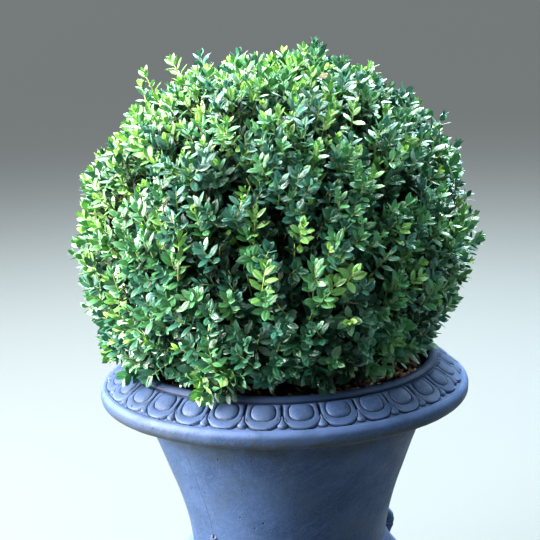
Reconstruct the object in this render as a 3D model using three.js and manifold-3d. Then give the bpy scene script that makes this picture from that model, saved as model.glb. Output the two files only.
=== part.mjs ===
// A clipped box ball growing in a bell-shaped urn, in millimetres, +Z up.
// The origin is the middle of the plinth's underside, and the two handles lie along X.
// From the ground up: plinth, foot, gadrooned bowl with its handles, bell with the
// egg-and-dart rim, potting soil, then the shrub's stem, boughs and clipped crown.

import * as THREE from 'three';
import { mergeVertices } from 'three/addons/utils/BufferGeometryUtils.js';
import Module from 'manifold-3d';

const wasm = await Module();
wasm.setup();

// Driving sizes of the urn
const PLINTH_SIDE = 250;
const PLINTH_HEIGHT = 50;
const FOOT_TOP = 140;
const WAIST_HEIGHT = 237;
const WAIST_RADIUS = 139.7;
const RIM_HEIGHT = 460;
const RIM_RADIUS = 260;
const ROLL_RADIUS = 14;
const LIP_TOP = 501.5;
const LIP_INNER_RADIUS = 204;
const LIP_OUTER_RADIUS = 215;
const BAND_TOP = { radius: LIP_OUTER_RADIUS, height: 493.3 };
const BAND_FOOT = { radius: 249.6, height: 472 };
const EGG_COUNT = 30;
const LOBE_COUNT = 20;
const LOBE_DEPTH = 7;
const HANDLE_THICKNESS = 19;
const HANDLE_REACH = 215;
const BELL_SIDES = 48;
const FIT_GAP = 0.3;

// Driving sizes of the shrub
const SOIL_TOP = 465;
const SOIL_FLOOR = 262;
const TRUNK_TOP = 525;
const TRUNK_RADIUS = 16;
const BOUGH_COUNT = 5;
const CROWN = { x: -3, y: 2.6, middle: 670, radius: 276, above: 275, below: 330 };
const CROWN_LOW_EDGE = 498;
const CORE_SHARE = 0.88;
const CORE_HOLLOW_TOP = 556;
const SHOOT_COUNT = 42;
const TWIGS_PER_SHOOT = 2;
const TWIG_SPREAD = 46;
const LEAF = { length: 47, width: 27, thickness: 3, sunk: 1.2 };
const FRONT_ANGLE = THREE.MathUtils.degToRad(-131);

const urnFinish = { color: 0x56698c, roughness: 0.6, metalness: 0.05 };
const barkFinish = { color: 0x6b6558, roughness: 0.9, metalness: 0 };
const soilFinish = { color: 0x2b211a, roughness: 1, metalness: 0 };
const leafFinish = { color: 0x3f7a3c, roughness: 0.5, metalness: 0 };

const group = new THREE.Group();

// A closed solid from a three.js geometry, with its doubled corners merged
function solidOf(geometry) {
  const bare = geometry.clone();
  bare.deleteAttribute('normal');
  bare.deleteAttribute('uv');
  const merged = mergeVertices(bare, 1e-3);
  const index = merged.index.array;
  const triangles = [];
  for (let i = 0; i < index.length; i += 3) {
    const [a, b, c] = index.slice(i, i + 3);
    if (a !== b && b !== c && c !== a) {
      triangles.push(a, b, c);
    }
  }
  return new wasm.Manifold(new wasm.Mesh({
    numProp: 3,
    vertProperties: Float32Array.from(merged.getAttribute('position').array),
    triVerts: Uint32Array.from(triangles),
  }));
}

function geometryOf(solid) {
  const cut = solid.getMesh();
  const geometry = new THREE.BufferGeometry();
  geometry.setAttribute('position', new THREE.BufferAttribute(Float32Array.from(cut.vertProperties), 3));
  geometry.setIndex(new THREE.BufferAttribute(Uint32Array.from(cut.triVerts), 1));
  return geometry;
}

function addPiece(name, solid, finish) {
  const mesh = new THREE.Mesh(geometryOf(solid), new THREE.MeshStandardMaterial(finish));
  mesh.name = name;
  group.add(mesh);
  return mesh;
}

// A turned shape about the Z axis, from [radius, height] points that run up the outside
function turned(profile, sides) {
  const points = profile.map(([radius, height]) => new THREE.Vector2(radius, height));
  const geometry = new THREE.LatheGeometry(points, sides);
  geometry.rotateX(Math.PI / 2);
  geometry.rotateZ(Math.PI / 2);
  return geometry;
}

// Points along a smooth line through a few [radius, height] points
function smoothLine(knots, steps) {
  const curve = new THREE.SplineCurve(knots.map(([radius, height]) => new THREE.Vector2(radius, height)));
  return curve.getPoints(steps).map((point) => [point.x, point.y]);
}

// Points of a round arc, angles in degrees from the radius direction
function arcPoints(radius, height, size, from, to, steps) {
  const points = [];
  for (let i = 0; i <= steps; i += 1) {
    const angle = THREE.MathUtils.degToRad(from + ((to - from) * i) / steps);
    points.push([radius + size * Math.cos(angle), height + size * Math.sin(angle)]);
  }
  return points;
}

// Plinth: a square slab with a small moulding round its top edge
function makePlinth() {
  const corner = (side) => side / Math.SQRT2;
  const top = PLINTH_SIDE - 14;
  const geometry = turned([
    [0, 0],
    [corner(PLINTH_SIDE), 0],
    [corner(PLINTH_SIDE), PLINTH_HEIGHT - 14],
    [corner(top), PLINTH_HEIGHT - 6],
    [corner(top), PLINTH_HEIGHT],
    [0, PLINTH_HEIGHT],
  ], 4);
  geometry.rotateZ(Math.PI / 4);
  return solidOf(geometry);
}

// Foot: a round bead on the plinth, a hollow sweep up to the stem, and a collar under the bowl
function makeFoot() {
  const bead = arcPoints(108, PLINTH_HEIGHT + 10, 10, -90, 90, 4);
  const sweep = smoothLine([[102, 72], [84, 80], [66, 98], [58, 122]], 4);
  const collar = arcPoints(60, FOOT_TOP - 8, 8, -80, 90, 3);
  return solidOf(turned([[0, PLINTH_HEIGHT], ...bead, ...sweep, ...collar, [0, FOOT_TOP]], 32));
}

const bowlLine = smoothLine([
  [64, FOOT_TOP],
  [100, 142.5],
  [136, 152],
  [160, 167],
  [168, 184],
  [161, 203],
  [149, 219.5],
  [WAIST_RADIUS, WAIST_HEIGHT],
], 8);

// Bowl: its wall is worked into upright lobes, deepest at its fullest part
function makeBowl(grow) {
  const wall = bowlLine.map(([radius, height]) => [radius + grow, height]);
  const geometry = turned([[0, FOOT_TOP], ...wall, [0, WAIST_HEIGHT]], LOBE_COUNT * 4);
  const corners = geometry.getAttribute('position');
  for (let i = 0; i < corners.count; i += 1) {
    const angle = Math.atan2(corners.getY(i), corners.getX(i));
    const share = (corners.getZ(i) - FOOT_TOP) / (WAIST_HEIGHT - FOOT_TOP);
    const fade = Math.sin(Math.PI * THREE.MathUtils.clamp(share, 0, 1));
    const lobe = Math.sqrt(Math.abs(Math.cos((LOBE_COUNT * angle) / 2)));
    const radius = Math.hypot(corners.getX(i), corners.getY(i));
    const pulled = radius > FIT_GAP ? (radius - LOBE_DEPTH * fade * (1 - lobe)) / radius : 1;
    corners.setX(i, corners.getX(i) * pulled);
    corners.setY(i, corners.getY(i) * pulled);
  }
  return solidOf(geometry);
}

const bellWall = smoothLine([
  [WAIST_RADIUS, WAIST_HEIGHT],
  [146.8, 271],
  [159, 312],
  [173, 350],
  [185.5, 387],
  [196, 414],
], 5);

// The inside of the bell, from its floor up to the lip
const bellInside = [
  [118, SOIL_FLOOR],
  [150, 350],
  [178, 425],
  [198, SOIL_TOP],
];

// A point on the sloping band, share 0 at the lip and 1 at the rolled edge, raised off it
function bandPoint(share, raised) {
  const run = BAND_FOOT.radius - BAND_TOP.radius;
  const drop = BAND_TOP.height - BAND_FOOT.height;
  const length = Math.hypot(run, drop);
  return [
    BAND_TOP.radius + run * share + (raised * drop) / length,
    BAND_TOP.height - drop * share + (raised * run) / length,
  ];
}

const bandSlope = Math.atan2(BAND_TOP.height - BAND_FOOT.height, BAND_FOOT.radius - BAND_TOP.radius);

// Sets an ornament on the band: its own Z stands off the band, its own X runs down it
function onBand(geometry, share, raised, angle) {
  const [radius, height] = bandPoint(share, raised);
  geometry.rotateY(bandSlope);
  geometry.translate(radius, 0, height);
  geometry.rotateZ(angle);
  return solidOf(geometry);
}

function makeEgg(angle) {
  const egg = new THREE.SphereGeometry(1, 6, 4);
  egg.rotateX(Math.PI / 2);
  egg.scale(15.5, 15.5, 7);
  return onBand(egg, 0.4, -0.6, angle);
}

function makeDart(angle) {
  const dart = new THREE.CylinderGeometry(0, 6.5, 15, 3);
  dart.rotateZ(Math.PI / 2);
  dart.scale(1, 1, 0.55);
  return onBand(dart, 0.76, 0, angle);
}

// The leaf that each handle springs from, laid on the bell just above the waist
function makeHandleLeaf(angle) {
  const leaf = new THREE.SphereGeometry(1, 8, 6);
  leaf.rotateX(Math.PI / 2);
  leaf.scale(7, 13, 16);
  leaf.translate(WAIST_RADIUS + 1.5, 0, WAIST_HEIGHT + 16.2);
  leaf.rotateZ(angle);
  return solidOf(leaf);
}

// Bell: one turned wall with its rolled edge, sloping band and rounded lip, and the ornament on it
function makeBell() {
  const roll = arcPoints(RIM_RADIUS - ROLL_RADIUS, RIM_HEIGHT, ROLL_RADIUS, -90, 45, 4);
  const lipMiddle = (LIP_INNER_RADIUS + LIP_OUTER_RADIUS) / 2;
  const lip = arcPoints(lipMiddle, LIP_TOP - 5.5, 5.5, 20, 180, 3);
  const inside = [...bellInside].reverse();
  const body = turned([
    [0, WAIST_HEIGHT],
    ...bellWall,
    [206, 432],
    [224, 442],
    ...roll,
    [BAND_FOOT.radius, BAND_FOOT.height],
    [BAND_TOP.radius, BAND_TOP.height],
    ...lip,
    ...inside,
    [0, SOIL_FLOOR],
  ], BELL_SIDES);
  const pieces = [solidOf(body), makeHandleLeaf(0), makeHandleLeaf(Math.PI)];
  for (let i = 0; i < EGG_COUNT; i += 1) {
    const angle = (2 * Math.PI * i) / EGG_COUNT;
    pieces.push(makeDart(angle), makeEgg(angle + Math.PI / EGG_COUNT));
  }
  return wasm.Manifold.union(pieces);
}

// Handle: a round loop from the bowl's shoulder, out and down, back to its belly
function makeHandle(angle, bowlSpace) {
  const outer = HANDLE_REACH - HANDLE_THICKNESS / 2;
  const path = new THREE.CatmullRomCurve3([
    new THREE.Vector3(138, 0, 214),
    new THREE.Vector3(166, 0, 223),
    new THREE.Vector3(190, 0, 224),
    new THREE.Vector3(outer, 0, 208),
    new THREE.Vector3(outer - 4, 0, 187),
    new THREE.Vector3(186, 0, 170),
    new THREE.Vector3(150, 0, 162),
  ]);
  const section = new THREE.Shape();
  section.absarc(0, 0, HANDLE_THICKNESS / 2, 0, 2 * Math.PI, false);
  const loop = new THREE.ExtrudeGeometry(section, {
    curveSegments: 4,
    steps: 14,
    extrudePath: path,
    bevelEnabled: false,
  });
  loop.rotateZ(angle);
  return solidOf(loop).subtract(bowlSpace);
}

// Potting soil: fills the bell inside with a hair's gap all round
function makeSoil() {
  const wall = bellInside.map(([radius, height]) => [radius - FIT_GAP, Math.max(height, SOIL_FLOOR + FIT_GAP)]);
  return solidOf(turned([[0, SOIL_FLOOR + FIT_GAP], ...wall, [0, SOIL_TOP]], BELL_SIDES));
}

addPiece('urn_plinth', makePlinth(), urnFinish);
addPiece('urn_foot', makeFoot(), urnFinish);
addPiece('urn_gadrooned_bowl', makeBowl(0), urnFinish);
addPiece('urn_bell_with_egg_and_dart_rim', makeBell(), urnFinish);
const bowlSpace = makeBowl(FIT_GAP);
addPiece('urn_handle_right', makeHandle(0, bowlSpace), urnFinish);
addPiece('urn_handle_left', makeHandle(Math.PI, bowlSpace), urnFinish);
addPiece('potting_soil', makeSoil(), soilFinish);

// A repeatable stream of numbers from 0 to 1
function seededRandom(seed) {
  let state = seed;
  return () => {
    state = (state + 0x6d2b79f5) | 0;
    let mixed = Math.imul(state ^ (state >>> 15), state | 1);
    mixed ^= mixed + Math.imul(mixed ^ (mixed >>> 7), mixed | 61);
    return ((mixed ^ (mixed >>> 14)) >>> 0) / 4294967296;
  };
}

// Trunk: short, flared at the soil and forking inside the crown
function makeTrunk(grow) {
  const flare = smoothLine([
    [TRUNK_RADIUS * 1.9, SOIL_TOP],
    [TRUNK_RADIUS * 1.35, SOIL_TOP + 10],
    [TRUNK_RADIUS * 1.05, SOIL_TOP + 30],
    [TRUNK_RADIUS, TRUNK_TOP],
  ], 6);
  const wall = flare.map(([radius, height]) => [radius + grow, height]);
  return solidOf(turned([[0, SOIL_TOP], ...wall, [0, TRUNK_TOP]], 12));
}

// A tapering limb between two points, with flat ends
function limb(from, to, baseRadius, tipRadius, sides) {
  const length = from.distanceTo(to);
  const rod = new THREE.CylinderGeometry(tipRadius, baseRadius, length, sides);
  rod.translate(0, length / 2, 0);
  const turn = new THREE.Quaternion().setFromUnitVectors(
    new THREE.Vector3(0, 1, 0),
    to.clone().sub(from).normalize(),
  );
  rod.applyQuaternion(turn);
  rod.translate(from.x, from.y, from.z);
  return rod;
}

// A point of the crown's outline: share 1 is the clipped surface, rise is -1 at the foot, 1 at the top
function crownPoint(angle, rise, share) {
  const reach = rise > 0 ? CROWN.above : CROWN.below;
  const radius = CROWN.radius * Math.sqrt(Math.max(0, 1 - rise * rise)) * share;
  return new THREE.Vector3(
    CROWN.x + radius * Math.cos(angle),
    CROWN.y + radius * Math.sin(angle),
    CROWN.middle + reach * rise * share,
  );
}

// How far out a point lies, as a share of the crown's clipped surface
function crownShare(point) {
  const reach = point.z > CROWN.middle ? CROWN.above : CROWN.below;
  const outward = Math.hypot(point.x - CROWN.x, point.y - CROWN.y) / CROWN.radius;
  return Math.hypot(outward, (point.z - CROWN.middle) / reach);
}

const crownCentre = new THREE.Vector3(CROWN.x, CROWN.y, CROWN.middle);

// The same point drawn in or out, level with a share of the crown's clipped surface
function atShare(point, share) {
  const outward = point.clone().sub(crownCentre);
  return crownCentre.clone().addScaledVector(outward, share / crownShare(point));
}

// Leaves stay above the lip and the band, and a gap is left at the front, over the soil
function clearOfUrn(point) {
  const radius = Math.hypot(point.x, point.y);
  const slope = Math.tan(bandSlope);
  const overRim = LIP_TOP + 5 - slope * Math.max(0, radius - LIP_OUTER_RADIUS - 4);
  const turnedAway = Math.cos(Math.atan2(point.y, point.x) - FRONT_ANGLE);
  const frontGap = turnedAway > Math.cos(THREE.MathUtils.degToRad(20)) ? LIP_TOP + 16 : 0;
  return point.z > Math.max(overRim, frontGap);
}

// The crown's smaller core: the clipped outline drawn in, with a hollow underside
function makeCore(drop) {
  const lowRise = (CROWN_LOW_EDGE - CROWN.middle) / CROWN.below / CORE_SHARE;
  const lowRadius = CROWN.radius * CORE_SHARE * Math.sqrt(1 - lowRise * lowRise);
  const profile = [[0, CORE_HOLLOW_TOP - drop], [lowRadius * 0.55, CORE_HOLLOW_TOP - 8 - drop]];
  const rings = 9;
  for (let i = 0; i <= rings; i += 1) {
    const rise = Math.sin(THREE.MathUtils.lerp(Math.asin(lowRise), Math.PI / 2, i / rings));
    const reach = rise > 0 ? CROWN.above : CROWN.below;
    const radius = CROWN.radius * CORE_SHARE * Math.sqrt(Math.max(0, 1 - rise * rise));
    profile.push([i === rings ? 0 : radius, CROWN.middle + reach * rise * CORE_SHARE - drop]);
  }
  const geometry = turned(profile, 26);
  geometry.translate(CROWN.x, CROWN.y, 0);
  return solidOf(geometry);
}

// A leaf: a flat kite of eight faces, rooted at a point and growing along a direction
function makeLeaf(root, direction, face) {
  const leaf = new THREE.OctahedronGeometry(1, 0);
  leaf.scale(LEAF.length / 2, LEAF.width / 2, LEAF.thickness / 2);
  leaf.translate(LEAF.length / 2 - LEAF.sunk, 0, 0);
  const side = new THREE.Vector3().crossVectors(face, direction).normalize();
  const upper = new THREE.Vector3().crossVectors(direction, side).normalize();
  leaf.applyMatrix4(new THREE.Matrix4().makeBasis(direction, side, upper));
  leaf.translate(root.x, root.y, root.z);
  return leaf;
}

function leafTip(root, direction) {
  return root.clone().addScaledVector(direction, LEAF.length - LEAF.sunk);
}

// Leaves sit in opposite pairs, each pair turned a quarter from the last, open to the outside
function leavesOn(from, to, turn, random) {
  const outward = to.clone().sub(crownCentre).normalize();
  const across = new THREE.Vector3(0, 0, 1).cross(outward).normalize();
  const leaves = [];
  [[0.84, 82], [0.98, 64]].forEach(([along, lean], pair) => {
    for (let half = 0; half < 2; half += 1) {
      const around = turn + (pair * Math.PI) / 2 + half * Math.PI;
      const side = across.clone().applyAxisAngle(outward, around);
      const tilt = THREE.MathUtils.degToRad(lean + 16 * (random() - 0.5));
      const direction = outward.clone().multiplyScalar(Math.cos(tilt)).addScaledVector(side, Math.sin(tilt));
      const root = from.clone().lerp(to, along);
      const tip = leafTip(root, direction);
      if (crownShare(tip) < 1.02 && clearOfUrn(tip)) {
        leaves.push(solidOf(makeLeaf(root, direction, outward)));
      }
    }
  });
  return leaves;
}

// Crown: one stem, its core, and shoots that each fork into a few leafy twigs at the clipped surface
function makeCrown() {
  const random = seededRandom(20);
  const heart = new THREE.Vector3(0, 0, CORE_HOLLOW_TOP + 60);
  const stemFoot = new THREE.Vector3(0, 0, TRUNK_TOP + FIT_GAP);
  const pieces = [makeCore(0), solidOf(limb(stemFoot, heart, TRUNK_RADIUS - 2, 9, 8))];
  const goldenAngle = Math.PI * (3 - Math.sqrt(5));
  const lowRise = (LIP_TOP + 34 - CROWN.middle) / CROWN.below;
  for (let i = 0; i < SHOOT_COUNT; i += 1) {
    const rise = THREE.MathUtils.lerp(0.985, lowRise, i / (SHOOT_COUNT - 1));
    const angle = i * goldenAngle + 0.3 * (random() - 0.5);
    const fork = crownPoint(angle, rise, CORE_SHARE - 0.06);
    pieces.push(solidOf(limb(heart.clone().lerp(fork, 0.8), fork, 5, 4, 3)));
    const outward = crownPoint(angle, rise, 1).sub(fork).normalize();
    const across = new THREE.Vector3(0, 0, 1).cross(outward).normalize();
    for (let twig = 0; twig < TWIGS_PER_SHOOT; twig += 1) {
      const around = (2 * Math.PI * (twig + random() * 0.4)) / TWIGS_PER_SHOOT + i;
      const sideways = across.clone().applyAxisAngle(outward, around);
      const aim = crownPoint(angle, rise, 1).addScaledVector(sideways, TWIG_SPREAD);
      const tip = atShare(aim, THREE.MathUtils.lerp(0.92, 0.945, random()));
      if (!clearOfUrn(tip)) {
        continue;
      }
      pieces.push(solidOf(limb(fork, tip, 4.6, 3.4, 3)));
      pieces.push(...leavesOn(fork, tip, random() * Math.PI, random));
    }
  }
  return wasm.Manifold.union(pieces);
}

// Boughs: each springs from the trunk's side and ends where it meets the crown's hollow underside
function makeBough(number, trunkSpace, crownSpace) {
  const angle = (2 * Math.PI * (number + 0.25)) / BOUGH_COUNT;
  const outward = new THREE.Vector3(Math.cos(angle), Math.sin(angle), 0);
  const from = new THREE.Vector3(0, 0, TRUNK_TOP - 26).addScaledVector(outward, TRUNK_RADIUS - 6);
  const to = new THREE.Vector3(0, 0, CORE_HOLLOW_TOP + 12).addScaledVector(outward, 92);
  return solidOf(limb(from, to, 8.5, 6, 8)).subtract(trunkSpace).subtract(crownSpace);
}

addPiece('trunk', makeTrunk(0), barkFinish);
const trunkSpace = makeTrunk(FIT_GAP);
const crownSpace = makeCore(FIT_GAP);
for (let i = 0; i < BOUGH_COUNT; i += 1) {
  addPiece(`bough_${i + 1}`, makeBough(i, trunkSpace, crownSpace), barkFinish);
}
addPiece('clipped_crown', makeCrown(), leafFinish);

export default group;
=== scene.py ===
"""A clipped box ball in a lead-blue bell urn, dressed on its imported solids, in metres."""

import math

import bmesh
import bpy
import numpy as np
from mathutils import Matrix, Vector, noise


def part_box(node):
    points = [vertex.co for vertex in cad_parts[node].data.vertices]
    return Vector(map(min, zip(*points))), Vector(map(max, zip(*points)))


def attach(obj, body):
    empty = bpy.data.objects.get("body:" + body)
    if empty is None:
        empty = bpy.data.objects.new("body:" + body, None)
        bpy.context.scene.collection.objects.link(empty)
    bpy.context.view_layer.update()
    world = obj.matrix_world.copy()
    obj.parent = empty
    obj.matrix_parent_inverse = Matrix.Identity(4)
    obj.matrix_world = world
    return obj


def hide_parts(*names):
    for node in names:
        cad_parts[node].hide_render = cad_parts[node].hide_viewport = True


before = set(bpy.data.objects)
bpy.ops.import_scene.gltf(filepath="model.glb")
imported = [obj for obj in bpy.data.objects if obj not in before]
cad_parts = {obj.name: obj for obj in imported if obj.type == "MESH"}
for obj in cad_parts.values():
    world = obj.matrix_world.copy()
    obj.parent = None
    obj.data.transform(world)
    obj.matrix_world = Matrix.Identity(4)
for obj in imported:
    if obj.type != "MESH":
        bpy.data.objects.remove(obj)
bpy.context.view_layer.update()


# The studio
# A long lens, two metres off and above the rim, looks down on the ball from between the left
# handle and the front. A broad high light, a warm softbox at the left and cooler ones behind
# and at the right, over a pale floor, stand in for open shade under a bright sky.
view_turn = math.radians(-41.0)
view_distance = 2.0
view_height = 1.0559
view_pitch = math.radians(12.2)
view_yaw = math.radians(-0.43)
view_roll = math.radians(-1.96)
aim_height = 0.6

turn = Matrix.Rotation(view_turn, 3, "Z")
ahead = turn @ Vector((
    math.sin(view_yaw) * math.cos(view_pitch),
    math.cos(view_yaw) * math.cos(view_pitch),
    -math.sin(view_pitch),
))
level_right = ahead.cross(Vector((0, 0, 1))).normalized()
level_up = level_right.cross(ahead)
camera_right = level_right * math.cos(view_roll) + level_up * math.sin(view_roll)
camera_up = level_up * math.cos(view_roll) - level_right * math.sin(view_roll)
camera = bpy.data.objects.new("camera", bpy.data.cameras.new("camera"))
camera.data.sensor_width = 36.0
camera.data.lens = 97.47
camera.data.clip_end = 200.0
camera.matrix_world = Matrix.Translation(turn @ Vector((0, -view_distance, view_height))) @ Matrix((
    camera_right, camera_up, -ahead,
)).transposed().to_4x4()
bpy.context.scene.collection.objects.link(camera)
bpy.context.scene.camera = camera


def studio_light(kind, name, place, power, colour):
    """A light aimed at the ball, placed by how far right of, beyond and above the foot it hangs."""
    lamp = bpy.data.lights.new(name, kind)
    lamp.energy = power
    lamp.color = colour
    holder = bpy.data.objects.new(name, lamp)
    holder.visible_camera = False
    spot = turn @ Vector(place)
    aim = Vector((0, 0, aim_height)) - spot
    holder.matrix_world = Matrix.Translation(spot) @ aim.to_track_quat("-Z", "Y").to_matrix().to_4x4()
    bpy.context.scene.collection.objects.link(holder)
    return lamp


high_sky = studio_light("SUN", "high_sky", (-2.6, -0.9, 2.4), 7.7, (0.98, 0.97, 0.95))
high_sky.angle = math.radians(50)
for name, place, power, colour, size in (
    ("left_softbox", (-2.7, -0.2, 1.2), 410, (1.00, 0.93, 0.86), 2.0),
    ("back_sky", (-0.5, 1.8, 3.3), 400, (0.95, 0.99, 1.00), 2.6),
    ("right_sky", (0.9, 1.5, 3.4), 290, (0.72, 0.92, 1.00), 1.4),
    ("right_front_sky", (2.3, -0.6, 2.9), 48, (0.78, 0.94, 1.00), 1.6),
    ("right_edge_light", (2.1, 2.0, 1.5), 26, (0.62, 0.84, 1.00), 0.9),
):
    studio_light("AREA", name, place, power, colour).size = size

world = bpy.data.worlds.new("sky_dome")
world.use_nodes = True
faint_sky = world.node_tree.nodes["Background"]
faint_sky.inputs["Color"].default_value = (0.55, 0.78, 1.0, 1.0)
faint_sky.inputs["Strength"].default_value = 0.08
bpy.context.scene.world = world
bpy.context.scene.view_settings.view_transform = "Standard"


def plain_finish(name, colour, roughness, gloss=0.5):
    """A finish that is the same all over."""
    material = bpy.data.materials.new(name)
    material.use_nodes = True
    skin = material.node_tree.nodes["Principled BSDF"]
    skin.inputs["Base Color"].default_value = (*colour, 1.0)
    skin.inputs["Roughness"].default_value = roughness
    skin.inputs["Specular IOR Level"].default_value = gloss
    return material


floor_disc = bmesh.new()
bmesh.ops.create_circle(floor_disc, cap_ends=True, segments=64, radius=60.0)
floor_mesh = bpy.data.meshes.new("studio_floor")
floor_disc.to_mesh(floor_mesh)
floor_disc.free()
floor_mesh.materials.append(plain_finish("pale_floor", (0.102, 0.114, 0.116), 0.9))
floor = bpy.data.objects.new("studio_floor", floor_mesh)
bpy.context.scene.collection.objects.link(floor)


# Plinth
# A square cast slab under the foot, with a hollow moulding round its top edge. It is cast in
# the same blue-grey mix as the rest of the urn, so the finish of the whole urn is set here.
def wire(tree, kind, sources=(), **values):
    """A shader node with its settings, inputs by name, and links from (socket, input) pairs."""
    node = tree.nodes.new(kind)
    for key, value in values.items():
        if hasattr(node, key):
            setattr(node, key, value)
        else:
            node.inputs[key.replace("_", " ").title()].default_value = value
    for source, target in sources:
        tree.links.new(source, node.inputs[target])
    return node


def blend_colours(tree, share, first, second):
    """Mixes two colours, each a plain colour or a socket, by a socket from 0 to 1."""
    mix = tree.nodes.new("ShaderNodeMix")
    mix.data_type = "RGBA"
    tree.links.new(share, mix.inputs["Factor"])
    for colour, slot in ((first, "A"), (second, "B")):
        target = next(s for s in mix.inputs if s.name == slot and s.type == "RGBA")
        if isinstance(colour, tuple):
            target.default_value = (*colour, 1.0)
        else:
            tree.links.new(colour, target)
    return next(s for s in mix.outputs if s.type == "RGBA")


def between(tree, value, low, high, to_low=0.0, to_high=1.0):
    """A value's smooth run from low to high, as a share between two limits."""
    return wire(
        tree, "ShaderNodeMapRange", [(value, "Value")], interpolation_type="SMOOTHSTEP",
        from_min=low, from_max=high, to_min=to_low, to_max=to_high,
    ).outputs["Result"]


def times(tree, first, second):
    """The product of two values, each a number or a socket."""
    node = tree.nodes.new("ShaderNodeMath")
    node.operation = "MULTIPLY"
    for value, target in ((first, node.inputs[0]), (second, node.inputs[1])):
        if isinstance(value, (int, float)):
            target.default_value = value
        else:
            tree.links.new(value, target)
    return node.outputs[0]


def cloud(tree, place, scale, detail=4.0, roughness=0.55):
    """A soft random pattern from about 0.3 to 0.7, finer for a higher scale."""
    return wire(
        tree, "ShaderNodeTexNoise", [(place, "Vector")],
        scale=scale, detail=detail, roughness=roughness,
    ).outputs["Fac"]


def cells(tree, place, scale):
    """The distance to the nearest of many points strewn at random, for flecks and pits."""
    return wire(
        tree, "ShaderNodeTexVoronoi", [(place, "Vector")], scale=scale, randomness=1.0,
    ).outputs["Distance"]


def bump(tree, height, below, strength, distance, invert=False):
    """Relief that is only shaded, over the relief below it if there is any."""
    sources = [(height, "Height")]
    if below:
        sources.append((below, "Normal"))
    return wire(
        tree, "ShaderNodeBump", sources, invert=invert, strength=strength, distance=distance,
    ).outputs["Normal"]


# How far round from the handles' own line the mould's seam and the two relief leaves lie
ornament_turn = math.radians(3.0)


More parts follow.
